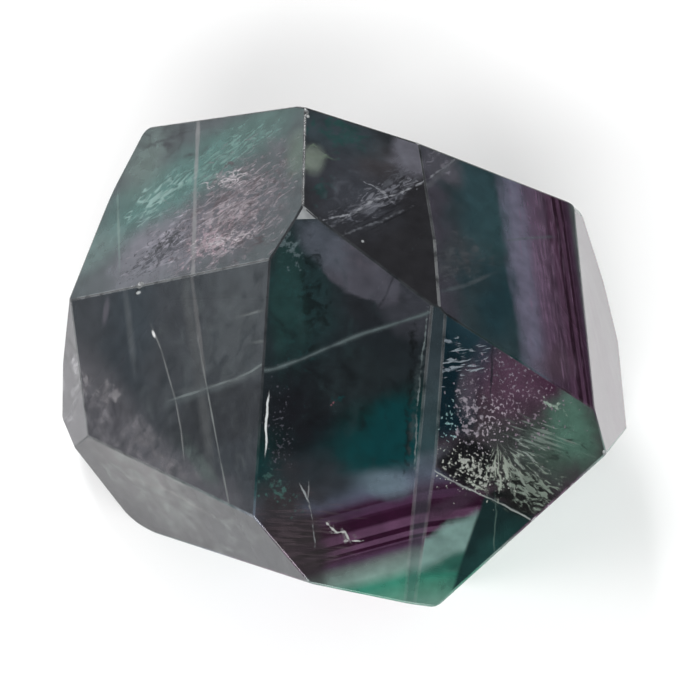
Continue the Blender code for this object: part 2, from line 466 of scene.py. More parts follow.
        Patch("6f8170", (18.4, 4.9), (2.8, 2.0), -20, 0.95, 0.5, Grain.LUMP),
        Patch("939f94", (17.9, 5.1), (2.0, 1.5), -20, 0.8, 0.6, Grain.CLOUD),
        Patch("2b5654", (13.4, 4.2), (2.4, 1.6), -20, 0.7, 0.6, Grain.LUMP),
        Patch("5c5f68", (12.8, 1.8), (3.0, 2.4), -20, 0.7, 0.6, Grain.LUMP),
        Patch("24252a", (9.2, -3.0), (6.0, 2.2), -60, 0.7, 0.6, Grain.STREAK),
        Patch("73767f", (9.6, -0.4), (7.0, 1.3), -60, 0.85, 0.6, Grain.CURL, 0.2),
        Patch("8a8c95", (11.8, -3.0), (7.0, 1.5), -60, 0.85, 0.6, Grain.FROTH, 0.2),
        Patch("65686f", (15.2, -6.0), (5.0, 1.8), -48, 0.8, 0.6, Grain.CURL),
        Patch("7c7c87", (18.8, -8.8), (3.6, 3.0), 0, 0.95, 0.4, Grain.CLOUD),
        Patch("85838f", (18.6, -9.6), (3.0, 1.8), 0, 0.7, 0.6, Grain.CURL),
        Crack("7c8087", 0.2, STEP_BRANCH, 0.8, 0.8, Grain.SPLINTER, 0.2),
        Crack("b0b3ba", 0.14, STEP_FRACTURE, 0.95, 0.8, Grain.SPLINTER, 0.2),
        Crack("a3a6ad", 0.12, ((14.4, -1.1), (12.8, -3.1), (11.5, -4.0)), 0.9, 0.8, Grain.SPLINTER, 0.2),
        Crack("c2b9be", 0.16, ((1.6, -10.6), (5.4, -10.5)), 0.7, 0.8, Grain.SPLINTER, 0.2),
        Patch("e6eaea", (24.9, 4.7), (0.26, 0.2), 0, 1.0, 0.4),
        Patch("c6cacc", (4.5, 0.5), (0.2, 0.18), 0, 1.0, 0.4),
    ],
    "right_crown": [
        Patch("3e4f56", (2.0, -5.0), (30.0, 8.6), 0, 0.75, 0.35, Grain.CLOUD),
        Patch("504c58", (7.0, 0.4), (18.0, 3.8), 0, 0.9, 0.6, Grain.CLOUD),
        Patch("454c52", (5.0, -4.8), (6.0, 2.4), -45, 0.8, 0.6, Grain.CLOUD),
        Patch("36575e", (13.0, -9.5), (9.0, 3.4), 0, 0.9, 0.6, Grain.CLOUD),
        Patch("1c4049", (-1.0, -10.0), (6.0, 3.0), -20, 0.9, 0.7, Grain.CLOUD),
        Patch("86829a", (8.0, -15.0), (24.0, 2.1), 0, 0.85, 0.7, Grain.SMOKE),
        Patch("77607a", (9.0, -18.2), (22.0, 1.8), 0, 0.7, 0.8, Grain.SMOKE),
        Patch("5c4a58", (-8.0, -18.0), (4.0, 2.2), -50, 0.7, 0.6, Grain.CLOUD),
        Patch("63636d", (18.9, -3.4), (2.8, 3.2), -40, 0.9, 0.4, Grain.CLOUD),
        Patch("92909b", (19.6, -3.6), (2.4, 2.0), -48, 0.7, 0.6, Grain.CURL),
        Crack("a8abb2", 0.13, ((16.5, -1.6), (18.8, -3.9), (21.2, -6.2)), 0.9, 0.8, Grain.SPLINTER),
        Patch("8f7590", (6.0, -19.2), (18.0, 3.6), 0, 0.6, 0.8, Grain.STREAK),
        Patch("3f2139", (4.0, -21.4), (18.0, 3.0), 2, 0.6, 0.6, Grain.STREAK),
        Patch("5d6166", (4.5, -5.0), (7.0, 3.2), -52, 0.6, 0.6, Grain.CURL),
        Patch("27454e", (4.0, -8.0), (18.0, 6.0), 8, 0.7, 0.6, Grain.MIST),
        Crack("5f6a70", 0.26, ((-2.0, -1.5), (0.0, -5.0), (3.0, -9.0)), 0.7, 0.8),
        Crack("6c6f76", 0.4, ((12.0, 2.0), (15.5, -1.5), (21.0, -6.0)), 0.8, 0.8),
        Crack("6c747c", 0.2, ((10.0, -13.0), (11.6, -16.5), (13.0, -20.0)), 0.6),
    ],
    "front_right": [
        Patch("403040", (-9.0, -19.6), (4.6, 0.9), -14, 0.7, 0.6, Grain.CLOUD),
        Patch("7b9b95", (-11.6, -23.3), (7.5, 2.1), -14, 0.95, 0.3, Grain.CLOUD),
        Patch("1a5c4f", (-13.2, -25.4), (4.0, 0.9), -20, 0.9, 0.7, Grain.CLOUD),
        Patch("132c2d", (6.1, -50.2), (60.0, 30.0), 30, 1.0, 0.01),
        Patch("1d4341", (-8.0, -27.4), (5.0, 1.4), 0, 0.8, 0.7, Grain.SMOKE),
        Patch("41363f", (21.9, -6.3), (60.0, 30.0), -61.7, 1.0, 0.012),
        Patch("173842", (5.0, -3.0), (8.0, 6.4), -61.7, 0.9, 0.3, Grain.CLOUD),
        Patch("021f29", (-0.5, -7.6), (6.6, 4.8), 42, 1.0, 0.3, Grain.CLOUD),
        Patch("4e4b55", (2.4, -9.8), (3.6, 1.3), 42, 0.8, 0.5, Grain.SMOKE),
        Patch("5b5c66", (-6.6, -13.6), (3.0, 1.1), -15, 0.9, 0.4, Grain.CLOUD),
        Patch("573d51", (8.6, -12.5), (5.0, 4.2), -25, 0.85, 0.6, Grain.CLOUD),
        Patch("451f3b", (13.2, -18.0), (3.8, 1.5), -60, 0.8, 0.6, Grain.CLOUD),
        Patch("3a3f3e", (3.4, -21.6), (6.4, 4.2), -50, 0.9, 0.5, Grain.CLOUD),
        Patch("44564e", (9.4, -23.2), (5.8, 4.2), -10, 0.95, 0.5, Grain.CLOUD),
        Patch("557a6c", (11.4, -22.2), (4.2, 2.8), 60, 0.85, 0.6, Grain.CLOUD),
        Patch("27302e", (7.0, -21.6), (5.4, 3.4), -50, 0.75, 0.6, Grain.CURL),
        Patch("8b9a92", (6.6, -20.4), (4.6, 2.6), -54, 0.6, 0.6, Grain.STREAK, 0.2),
        Patch("0e0f13", (-3.2, -17.4), (5.0, 2.7), -50, 0.97, 0.3, Grain.CLOUD),
        Patch("141816", (0.6, -24.6), (4.4, 2.8), -60, 0.9, 0.4, Grain.CLOUD),
        Patch("7f8c81", (1.6, -24.8), (5.0, 3.0), -60, 0.85, 0.5, Grain.FROTH, 0.3),
        Patch("b4beb2", (-4.4, -19.8), (1.6, 0.8), -55, 0.9, 0.5, Grain.FROTH, 0.3),
        Fan("a4aea2", (2.2, -17.4), (0.8, 6.4), 236.0, 26.0, 8.0, 0.92, 0.5, 0.6, 0.3),
        Fan("909c92", (2.2, -17.4), (1.2, 7.6), 268.0, 30.0, 8.0, 0.9, 0.5, 0.9, 0.3),
        Fan("8f9a94", (2.6, -16.6), (1.5, 8.0), 292.0, 26.0, 9.0, 0.8, 0.5, 1.1, 0.3),
        Patch("0f1414", (-2.6, -22.6), (1.2, 0.5), -40, 0.97, 0.5, Grain.CLOUD),
        Patch("b9beb6", (-3.4, -17.6), (4.6, 2.3), -50, 0.95, 0.5, Grain.SPECKLE, 0.3),
        Patch("aeb3ab", (-2.8, -18.4), (4.0, 1.4), -50, 0.9, 0.5, Grain.CRUMB, 0.3),
        Patch("9a949e", (0.6, -12.8), (3.2, 2.0), 60, 0.95, 0.5, Grain.CRUMB, 0.2),
        Patch("8a7c89", (6.2, -14.6), (7.0, 4.4), -25, 0.85, 0.5, Grain.SPECKLE, 0.2),
        Patch("77707d", (8.0, -11.0), (5.0, 3.0), -25, 0.6, 0.5, Grain.SPECKLE, 0.2),
        Patch("a39ba4", (1.6, -15.2), (3.4, 2.0), 20, 0.85, 0.5, Grain.SPECKLE, 0.2),
        Patch("939ea6", (4.0, -6.6), (3.4, 2.4), -28, 0.9, 0.5, Grain.DASH, 0.2),
        Patch("7fa3a4", (-2.2, -11.4), (2.4, 0.9), 42, 0.9, 0.5, Grain.SPECKLE, 0.2),
        Patch("9fb3a6", (11.0, -18.8), (2.0, 0.5), -65, 0.8, 0.5, Grain.CRUMB, 0.2),
        Crack("838e98", 0.22, ((0.2, -5.4), (3.2, -7.0)), 0.9, 0.6, Grain.SPLINTER, 0.2),
        Crack("838e98", 0.22, ((3.0, -2.2), (4.6, -4.0)), 0.9, 0.6, Grain.SPLINTER, 0.2),
        Crack("2a2630", 0.16, ((9.2, -7.0), (4.5, -12.4)), 0.9),
        Crack("567069", 0.12, ((-7.6, -27.8), (-3.6, -23.2)), 0.7, 0.8),
        Crack("a9b0ad", 0.09, TOE_SEAM, 0.85, 0.7),
    ],
    "table_arris": [
        Patch("3a484f", (0.0, 4.0), (30.0, 18.0), 0, 0.5, 0.5),
        Patch("4e585f", (0.0, -20.0), (30.0, 14.0), 0, 0.3, 0.3),
        Patch("27383a", (0.0, 2.0), (16.0, 0.3), -88, 0.7, 0.8, Grain.STREAK),
    ],
    # Painted reflection of the pale floor: a pale lilac-grey over the whole facet, with two paler clouds.
    "right_wall": [
        Patch("ccc6cb", (3.0, -15.0), WHOLE, 0, 0.97, 0.1),
        Patch("d6d4d7", (8.0, -8.0), (14.0, 6.0), 60, 0.6, 0.7, Grain.CLOUD),
        Patch("c4b9c2", (-4.0, -18.0), (12.0, 4.0), 30, 0.5, 0.7, Grain.SMOKE),
    ],
    "front_left_wall": [
        Patch("59595c", (2.0, -10.0), WHOLE, 0, 1.0, 0.1),
        Patch("726f71", (-14.0, -6.0), (12.0, 8.0), 0, 0.8, 0.6, Grain.CLOUD),
        Patch("535559", (16.0, -8.0), (10.0, 8.0), 0, 0.8, 0.6, Grain.CLOUD),
        Patch("7f8583", (-2.0, -8.0), (30.0, 16.0), 25, 0.75, 0.6, Grain.MIST),
        Patch("48494c", (4.0, -8.0), (30.0, 16.0), 80, 0.6, 0.6, Grain.MIST),
        Crack("94918f", 0.14, ((-10.0, -14.0), (-3.0, -9.6), (4.0, -7.0)), 0.4, 0.8),
    ],
    "left_sliver": [
        Patch("66656b", (-12.0, -20.0), WHOLE, 0, 1.0, 0.1),
        Patch("b0afb4", (-11.0, -17.0), (16.0, 10.0), 70, 0.9, 0.5, Grain.MIST),
        Patch("2c2d32", (-11.0, -18.0), (16.0, 10.0), 20, 0.9, 0.5, Grain.MIST),
    ],
}


@dataclass(frozen=True)
class GrowthZones:
    """Cube-shaped growth zoning: parallel layers in two directions, from the dark core outwards.

    Attributes:
        right: The way the layers grew to the right.
        front: The way they grew to the front.
        right_start: How much further out the right-hand layers lie, in millimetres.
        stops: Distance from the core's middle in millimetres, with the layer's colour there.
        streak: sRGB hex of the dense thin layers in the purple zone.
        streak_span: Where the thin layers start and end, in millimetres.
        streak_scale: How many thin layers there are in a millimetre.
        streak_detail: How many finer layers lie between them.
        streak_roughness: How strong the finer ones are.
        streak_step: Where on the noise between the thin layers they start and are full.
        streak_fade: How far inside and outside the span they fade, in millimetres.
        bend: Over how many millimetres the two directions round into each other.
        wave: How far a layer strays in or out, in millimetres.
        wave_pitch: How far apart such strays lie, in millimetres.
    """

    right: Vector = Vector((0.713, 0.055, -0.698))
    front: Vector = Vector((0.224, -0.932, -0.286))
    right_start: float = 19.0
    stops: tuple[tuple[float, str], ...] = (
        (-30.0, "2a2c30"),
        (-4.0, "22262b"),
        (3.0, "1b2327"),
        (6.5, "062a2a"),
        (12.3, "083a3d"),
        (13.6, "4b5964"),
        (15.6, "565c6e"),
        (17.2, "46334a"),
        (18.6, "442842"),
        (20.6, "5c3d57"),
        (22.6, "5a3d56"),
        (23.6, "4f3851"),
        (24.6, "687472"),
        (26.2, "7a958d"),
        (27.6, "35836e"),
        (29.2, "548e7b"),
        (31.0, "6a9184"),
        (36.0, "5f7f78"),
    )
    streak: str = "2a0823"
    streak_span: tuple[float, float] = (17.0, 23.5)
    streak_scale: float = 0.8
    streak_detail: float = 2.0
    streak_roughness: float = 0.55
    streak_step: tuple[float, float] = (0.42, 0.53)
    streak_fade: tuple[float, float] = (0.9, 0.6)
    bend: float = 1.5
    wave: float = 1.6
    wave_pitch: float = 11.1


@dataclass
class FluoriteFinish:
    """Fluorite, a soft crystal, ground flat and polished to a glassy, slightly greasy shine.

    To the eye that is a dark see-through body with layers of colour, a weak mirror on every facet,
    and pale broken chips where the polish stops. A painted highlight runs along the edges, and the
    right wall carries a painted reflection of the pale floor.

    Attributes:
        name: The material's name.
        ior: Fluorite's refractive index.
        transmission: How much of the light the clear stone between the clouds lets through.
        roughness: How far the polish falls short of a mirror.
        absorption_colour: sRGB hex of what the stone lets through best.
        absorption_density: How much of the light it takes on the way.
        usual_mottle: How far the colour varies with the clouds.
        mottle: How far it does so under the facets where that differs.
        wear_and_highlight_colour: sRGB hex of stone that has lost its polish, also used as the painted edge
            highlight.
        wear_and_highlight_roughness: How much roughness that adds, on the chips and under the painted edge
            highlight.
        zones: The growth layers.
    """

    name: str = "fluorite_ground_and_polished"
    ior: float = 1.434
    transmission: float = 0.5
    roughness: float = 0.07
    absorption_colour: str = "7f9c9a"
    absorption_density: float = 90.0
    usual_mottle: float = 0.46
    # The right wall's painted reflection of the floor is kept nearly even.
    mottle: dict[str, float] = field(
        default_factory=lambda: {"right_wall": 0.05, "front_left_wall": 0.3, "left_slope": 0.36}
    )
    wear_and_highlight_colour: str = "a6a9ab"
    wear_and_highlight_roughness: float = 0.35
    zones: GrowthZones = field(default_factory=GrowthZones)

    def make(self) -> bpy.types.Material:
        """Builds the material: the bare stone, and over it the polish of each facet with its flaws.

        Returns:
            The finished material.
        """
        material = bpy.data.materials.new(self.name)
        material.use_nodes = True
        material.node_tree.nodes.clear()
        painter = StonePainter(material.node_tree)
        zones = painter.zone_colour(self.zones)
        surface = self.polish(painter, zones, self.under_polish("bare_stone", None, []))
        for name, flaws in FLAWS_AND_PAINTED_REFLECTION.items():
            facet = FACETS[name]
            dressed = self.polish(painter, zones, self.under_polish(name, facet, flaws))
            inputs = {0: painter.on_facet(facet), 1: surface, 2: dressed}
            surface = painter.add("ShaderNodeMixShader", inputs=inputs).outputs[0]
        inside = painter.add(
            "ShaderNodeVolumeAbsorption",
            inputs={"Color": linear(self.absorption_colour), "Density": self.absorption_density},
        )
        inputs = {"Surface": surface, "Volume": inside.outputs["Volume"]}
        painter.add("ShaderNodeOutputMaterial", inputs=inputs)
        return material

    def under_polish(self, name: str, facet: Facet | None, flaws: list[Flaw]) -> bpy.types.NodeTree:
        """The node group that lays a facet's flaws, the stone's clouds, its wear and the painted edge
        highlight over the zones; on the right wall the flaws are painted reflection of the floor.

        Args:
            name: The group's name.
            facet: The facet, or None for stone without flaws.
            flaws: What lies under it, from the deepest up.

        Returns:
            The group, with the growth zones' colour going in, and a colour and a roughness coming out.
        """
        group = bpy.data.node_groups.new(name, "ShaderNodeTree")
        group.interface.new_socket("Zones", in_out="INPUT", socket_type="NodeSocketColor")
        group.interface.new_socket("Colour", in_out="OUTPUT", socket_type="NodeSocketColor")
        group.interface.new_socket("Roughness", in_out="OUTPUT", socket_type="NodeSocketFloat")
        painter = StonePainter(group)
        zones = painter.add("NodeGroupInput").outputs["Zones"]
        colour, rough = painter.dress(facet, flaws, zones, self.roughness)
        colour = painter.mottle(colour, self.mottle.get(name, self.usual_mottle))
        # Whitens the broken chips and paints a highlight along the edges.
        colour, rough = painter.wear(colour, self.wear_and_highlight_colour, rough, self.wear_and_highlight_roughness)
        painter.add("NodeGroupOutput", inputs={"Colour": colour, "Roughness": rough})
        return group

    def polish(
        self, painter: "StonePainter", zones: bpy.types.NodeSocket, group: bpy.types.NodeTree
    ) -> bpy.types.NodeSocket:
        """The see-through polished surface over what a node group shows.

        Args:
            painter: The painter of the material's tree.
            zones: The growth zones' colour.
            group: The node group.

        Returns:
            The shader's socket.
        """
        under = painter.add("ShaderNodeGroup", {"node_tree": group}, {"Zones": zones})
        inputs = {
            "Base Color": under.outputs["Colour"],
            "Roughness": under.outputs["Roughness"],
            "IOR": self.ior,
            "Transmission Weight": self.transmission,
        }
        return painter.add("ShaderNodeBsdfPrincipled", inputs=inputs).outputs["BSDF"]


class StonePainter:
    """Lays the stone's colours over one another in one node tree.

    Attributes:
        stray_pitch: How far apart the bends of a wandering line lie, in millimetres.
        stray: How far it wanders, in millimetres.
        stray_detail: How many finer bends it has.
        cloud_pitch: How far apart the small clouds lie, in millimetres.
        cloud_detail: How many finer layers they have.
        crack_overlap: How far a crack's stretches run past their ends, in millimetres.
        facet_edge: A facet's flaws start to fade and are gone at these angles off its normal.
        fan_push: How far the noise moves a fan's outline, as a share of its size.
        fan_spacing: How often the noise along a fan's streaks changes in a millimetre.
        fan_detail: How many finer layers it has.
        fan_roughness: How strong the finer ones are.
        wear_and_highlight_step: Where on the clouds wear and painted edge highlight start and are full, and
            how much shows.
    """

    stray_pitch: float = 2.2
    stray: float = 0.7
    stray_detail: float = 3.0
    cloud_pitch: float = 1.9
    cloud_detail: float = 5.0
    crack_overlap: float = 0.5
    facet_edge: tuple[float, float] = (4.0, 7.0)
    fan_push: float = 2.6
    fan_spacing: float = 0.45
    fan_detail: float = 3.0
    fan_roughness: float = 0.6
    wear_and_highlight_step: tuple[float, float, float] = (0.2, 0.6, 0.95)

    def __init__(self, tree: bpy.types.NodeTree) -> None:
        """Starts the tree with the places and the clouds that all the layers read.

        Args:
            tree: The node tree, still empty.
        """
        self.tree = tree
        self.spot = self.add("ShaderNodeTexCoord").outputs["Object"]
        self.noises: dict[tuple, bpy.types.NodeSocket] = {}
        self.sheets: dict[tuple, tuple[bpy.types.NodeSocket, Vector, Vector]] = {}
        self.strayed = self.stray_spot()
        self.clouds = self.even_noise(self.cloud_pitch, self.cloud_detail)

    def stray_spot(self) -> bpy.types.NodeSocket:
        """Moves the place a little this way and that, so that lines drawn by it wander.

        Returns:
            The moved place's socket.
        """
        strays = self.even_noise(self.stray_pitch, self.stray_detail)
        settings = {"operation": "MULTIPLY_ADD"}
        inputs = {0: strays, 1: Vector((self.stray, self.stray, -self.stray)) * MM, 2: self.spot}
        return self.add("ShaderNodeVectorMath", settings, inputs).outputs[0]

    def add(self, kind: str, settings: dict | None = None, inputs: dict | None = None) -> bpy.types.Node:
        """Adds a node to the stone's tree, as add_node does."""
        return add_node(self.tree, kind, settings, inputs)

    def math(self, operation: str, *values: float | bpy.types.NodeSocket) -> bpy.types.NodeSocket:
        """The result of a sum on numbers."""
        node = self.add("ShaderNodeMath", {"operation": operation}, dict(enumerate(values)))
        return node.outputs[0]

    def along(self, vector: bpy.types.NodeSocket, direction: tuple | Vector) -> bpy.types.NodeSocket:
        """How far a vector reaches along a direction."""
        settings = {"operation": "DOT_PRODUCT"}
        return self.add("ShaderNodeVectorMath", settings, {0: vector, 1: direction}).outputs["Value"]

    def even_noise(self, pitch: float, detail: float) -> bpy.types.NodeSocket:
        """Noise of a size in millimetres, the same every way, with so many finer layers."""
        inputs = {"Vector": self.spot, "Scale": 1.0 / (pitch * MM), "Detail": detail}
        return self.add("ShaderNodeTexNoise", inputs=inputs).outputs["Fac"]

    def step(
        self, value: bpy.types.NodeSocket, none: float, full: float, top: float = 1.0
    ) -> bpy.types.NodeSocket:
        """A soft step.

        Args:
            value: What it steps on.
            none: The value at which it is still 0.
            full: The value at which it is at the top.
            top: How high it goes.

        Returns:
            The step's socket.
        """
        inputs = {"Value": value, "From Min": none, "From Max": full, "To Max": top}
        settings = {"interpolation_type": "SMOOTHSTEP"}
        return self.add("ShaderNodeMapRange", settings, inputs).outputs["Result"]

    def blend(
        self,
        mask: bpy.types.NodeSocket,
        under: bpy.types.NodeSocket,
        over: str | bpy.types.NodeSocket,
    ) -> bpy.types.NodeSocket:
        """Lays a colour over another where the mask is."""
        top = linear(over) if isinstance(over, str) else over
        return self.add("ShaderNodeMix", {"data_type": "RGBA"}, {0: mask, 6: under, 7: top}).outputs[2]

    def noise(self, texture: Texture, facet: Facet, turn: float) -> bpy.types.NodeSocket:
        """The noise that breaks up a flaw.

        Args:
            texture: Its sizes.
            facet: The facet that it lies on.
            turn: The way that its length runs on the facet's map, in degrees.

        Returns:
            The noise's value, which is the same socket for flaws that share it.
        """
        even = texture.pitch[0] == texture.pitch[1]
        key = (texture.pitch, texture.detail, texture.twist, None if even else (facet, turn))
        if key not in self.noises:
            spot, scale = self.spot, 1.0 / (texture.pitch[0] * MM)
            if not even:
                stretch = Vector((texture.pitch[0], texture.pitch[1], texture.pitch[1])) * MM
                inputs = {"Vector": self.spot, "Rotation": facet.turned(turn), "Scale": stretch}
                spot = self.add("ShaderNodeMapping", {"vector_type": "TEXTURE"}, inputs).outputs["Vector"]
                scale = 1.0
            inputs = {"Vector": spot, "Scale": scale, "Detail": texture.detail}
            inputs["Distortion"] = texture.twist
            self.noises[key] = self.add("ShaderNodeTexNoise", inputs=inputs).outputs["Fac"]
        return self.noises[key]

    def zone_colour(self, zones: GrowthZones) -> bpy.types.NodeSocket:
        """The colour of the growth layer at each place.

        Args:
            zones: The layers.

        Returns:
            The colour's socket.
        """
        right = self.along(self.spot, zones.right / MM)
        front = self.along(self.spot, zones.front / MM)
        outward = self.math("SMOOTH_MAX", self.math("ADD", right, zones.right_start), front, zones.bend)
        inputs = {"Vector": self.spot, "Scale": 1.0 / (zones.wave_pitch * MM)}
        waves = self.add("ShaderNodeTexNoise", inputs=inputs).outputs["Fac"]
        wavy = self.math("MULTIPLY_ADD", waves, zones.wave, outward)
        first, last = zones.stops[0][0], zones.stops[-1][0]
        middle = zones.wave / 2
        inputs = {"Value": wavy, "From Min": first + middle, "From Max": last + middle}
        share = self.add("ShaderNodeMapRange", inputs=inputs).outputs["Result"]
        ramp = self.add("ShaderNodeValToRGB", inputs={"Fac": share})
        fill_ramp(ramp, [((at - first) / (last - first), code) for at, code in zones.stops])
        inputs = {"W": outward, "Scale": zones.streak_scale, "Detail": zones.streak_detail}
        inputs["Roughness"] = zones.streak_roughness
        lines = self.add("ShaderNodeTexNoise", {"noise_dimensions": "1D"}, inputs).outputs["Fac"]
        dense = self.step(lines, *zones.streak_step)
        start, end = zones.streak_span
        inner, outer = zones.streak_fade
        off = self.math("ABSOLUTE", self.math("SUBTRACT", outward, (start + end) / 2))
        within = self.step(off, (end - start) / 2 + outer, (end - start) / 2 - inner)
        return self.blend(self.math("MULTIPLY", dense, within), ramp.outputs["Color"], zones.streak)

    def on_facet(self, facet: Facet) -> bpy.types.NodeSocket:
        """Where the surface faces as a facet does.

        Args:
            facet: The facet.

        Returns:
            The mask's socket.
        """
        facing = self.add("ShaderNodeNewGeometry").outputs["Normal"]
        lean = self.along(facing, facet.normal)
        full, none = (math.cos(math.radians(edge)) for edge in self.facet_edge)
        return self.step(lean, none, full)

    def dress(
        self, facet: Facet | None, flaws: list[Flaw], colour: bpy.types.NodeSocket, rough: float
    ) -> tuple[bpy.types.NodeSocket, float | bpy.types.NodeSocket]:
        """Lays a facet's flaws over what the stone has there.

        Args:
            facet: The facet.
            flaws: What lies under it, from the deepest up.
            colour: The colour of the stone without them.
            rough: The roughness of the polish.

        Returns:
            The colour and the roughness with them.
        """
        masks = {Patch: self.patch_mask, Crack: self.crack_mask, Fan: self.fan_mask}
        for flaw in flaws:
            mask = masks[type(flaw)](facet, flaw)
            colour = self.blend(mask, colour, flaw.colour)
            if flaw.rough:
                rough = self.math("MULTIPLY_ADD", mask, flaw.rough, rough)
        return colour, rough

    def far_from(
        self,
        facet: Facet,
        centre: tuple[float, float],
        turn: float,
        ratio: float,
        strays: bool,
    ) -> bpy.types.NodeSocket:
        """How far each place lies from a point on a facet, in millimetres.

        Args:
            facet: The facet.
            centre: The point on its map.
            turn: The way in which distances count for less, in degrees up from the map's u.
            ratio: How many times less they count that way.
            strays: Whether the places wander a little, as a crack does.

        Returns:
            The distance's socket.
        """
        key = (facet, turn, round(ratio, 2), strays)
        if key not in self.sheets:
            length = facet.towards(turn) / (ratio * MM)
            breadth = facet.towards(turn + 90.0) / MM
            spot = self.strayed if strays else self.spot
            sides = {0: self.along(spot, length), 1: self.along(spot, breadth)}
            sheet = self.add("ShaderNodeCombineXYZ", inputs=sides).outputs[0]
            self.sheets[key] = (sheet, length, breadth)
        sheet, length, breadth = self.sheets[key]
        point = facet.place(*centre)
        if strays:
            point += Vector((self.stray, self.stray, -self.stray)) * MM / 2
        settings = {"operation": "DISTANCE"}
        inputs = {0: sheet, 1: (point.dot(length), point.dot(breadth), 0.0)}
        return self.add("ShaderNodeVectorMath", settings, inputs).outputs["Value"]

    def faded(
        self, distance: bpy.types.NodeSocket, width: float, facet: Facet, turn: float, flaw: Flaw
    ) -> bpy.types.NodeSocket:
        """Turns the distance from a flaw's middle into how much of the flaw shows.

        Args:
            distance: The distance in millimetres.
            width: Half the flaw's width, in millimetres.
            facet: The facet that it lies under.
            turn: The way that its length runs on the facet's map, in degrees.
            flaw: The flaw, with its grain, its softness and its strength.

        Returns:
            The mask's socket, from 0 to the flaw's strength.
        """
        push = hold = 0.0
        texture = flaw.grain.value
        if texture:
            push, hold = texture.push, texture.hold
            peaks = self.noise(texture, facet, turn)
            distance = self.math("MULTIPLY_ADD", peaks, -2.0 * push * width, distance)
        none, full = ((1.0 + side * flaw.softness - hold - push) * width for side in (1, -1))
        return self.step(distance, none, full, flaw.strength)

    def patch_mask(self, facet: Facet, patch: Patch) -> bpy.types.NodeSocket:
        """How much of a patch shows at each place.

        Args:
            facet: The facet that it lies under.
            patch: The patch.

        Returns:
            The mask's socket.
        """
        length, width = patch.size
        distance = self.far_from(facet, patch.centre, patch.turn, length / width, False)
        return self.faded(distance, width, facet, patch.turn, patch)

    def crack_mask(self, facet: Facet, crack: Crack) -> bpy.types.NodeSocket:
        """How much of a crack shows at each place: the nearest of its stretches counts.

        Args:
            facet: The facet that it lies under.
            crack: The crack.

        Returns:
            The mask's socket.
        """
        nearest = None
        for (u0, v0), (u1, v1) in zip(crack.points, crack.points[1:]):
            middle = ((u0 + u1) / 2, (v0 + v1) / 2)
            turn = math.degrees(math.atan2(v1 - v0, u1 - u0))
            half = math.hypot(u1 - u0, v1 - v0) / 2 + self.crack_overlap
            distance = self.far_from(facet, middle, turn, half / crack.width, True)
            nearest = distance if nearest is None else self.math("MINIMUM", nearest, distance)
        return self.faded(nearest, crack.width, facet, 0.0, crack)

    def fan_mask(self, facet: Facet, fan: Fan) -> bpy.types.NodeSocket:
        """How much of a fan shows at each place, by its turn and its distance from the apex.

        Args:
            facet: The facet that it lies under.
            fan: The fan.

        Returns:
            The mask's socket.
        """
        apex = facet.place(*fan.apex)
        ways = [facet.towards(fan.heading + turn) / MM for turn in (0.0, 90.0)]
        x, y = (self.math("SUBTRACT", self.along(self.strayed, way), apex.dot(way)) for way in ways)
        turn = self.math("ARCTAN2", y, x)
        away = self.math("SQRT", self.math("MULTIPLY_ADD", x, x, self.math("MULTIPLY", y, y)))
        across = self.math("MULTIPLY", turn, fan.streaks)
        down = self.math("MULTIPLY", away, self.fan_spacing)
        polar = self.add("ShaderNodeCombineXYZ", inputs={0: across, 1: down}).outputs[0]
        inputs = {"Vector": polar, "Scale": 1.0, "Detail": self.fan_detail}
        inputs["Roughness"] = self.fan_roughness
        peaks = self.add("ShaderNodeTexNoise", {"noise_dimensions": "2D"}, inputs).outputs["Fac"]
        middle, half = sum(fan.reach) / 2, (fan.reach[1] - fan.reach[0]) / 2
        near = self.math("MULTIPLY_ADD", away, 1.0 / half, -middle / half)
        side = self.math("MULTIPLY", turn, 1.0 / math.radians(fan.spread))
        off = self.math("MULTIPLY_ADD", near, near, self.math("MULTIPLY", side, side))
        off = self.math("MULTIPLY_ADD", peaks, -2.0 * self.fan_push, self.math("SQRT", off))
        none, full = (1.0 + sign * fan.softness - fan.hold - self.fan_push for sign in (1, -1))
        return self.step(off, none, full, fan.strength)

    def mottle(self, under: bpy.types.NodeSocket, depth: float) -> bpy.types.NodeSocket:
        """Lets the stone's colour vary a little, as its clouds lie higher or deeper.

        Args:
            under: The colour so far.
            depth: How far it may vary.

        Returns:
            The colour's socket.
        """
        gain = self.math("MULTIPLY_ADD", self.clouds, 2.0 * depth, 1.0 - depth)
        settings = {"operation": "MULTIPLY"}
        return self.add("ShaderNodeVectorMath", settings, {0: under, 1: gain}).outputs[0]

    def wear(
        self,
        under: bpy.types.NodeSocket,
        code: str,
        rough: float | bpy.types.NodeSocket,
        wear_and_highlight_rough: float,
    ) -> tuple[bpy.types.NodeSocket, bpy.types.NodeSocket]:
        """Whitens the chips and lays a painted highlight along the edges, in broken stretches where they are
        marked less.

        Args:
            under: The colour so far.
            code: sRGB hex of the worn stone and of the painted edge highlight.
            rough: The roughness so far.
            wear_and_highlight_rough: How much roughness the wear and the painted edge highlight add.

        Returns:
            The colour and the roughness with the wear and the painted edge highlight.
        """
        settings = {"attribute_type": "GEOMETRY", "attribute_name": WEAR_AND_EDGE_HIGHLIGHT}
        worn = self.add("ShaderNodeAttribute", settings).outputs["Fac"]
        # On the chips this mask is wear; along the edges it is a painted highlight.
        mask = self.math("MULTIPLY", worn, self.step(self.clouds, *self.wear_and_highlight_step))
        rough = self.math("MULTIPLY_ADD", mask, wear_and_highlight_rough, rough)
        return self.blend(mask, under, code), rough


# ---------------------------------------------------------------------------------------------
# The stone
# ---------------------------------------------------------------------------------------------


class Wear(Enum):
    """How far each kind of edge is worn back on either side, in millimetres."""

    FAINT = 0.0
    SHOW = 0.22
    GIRDLE = 0.35
    UNDER = 0.8


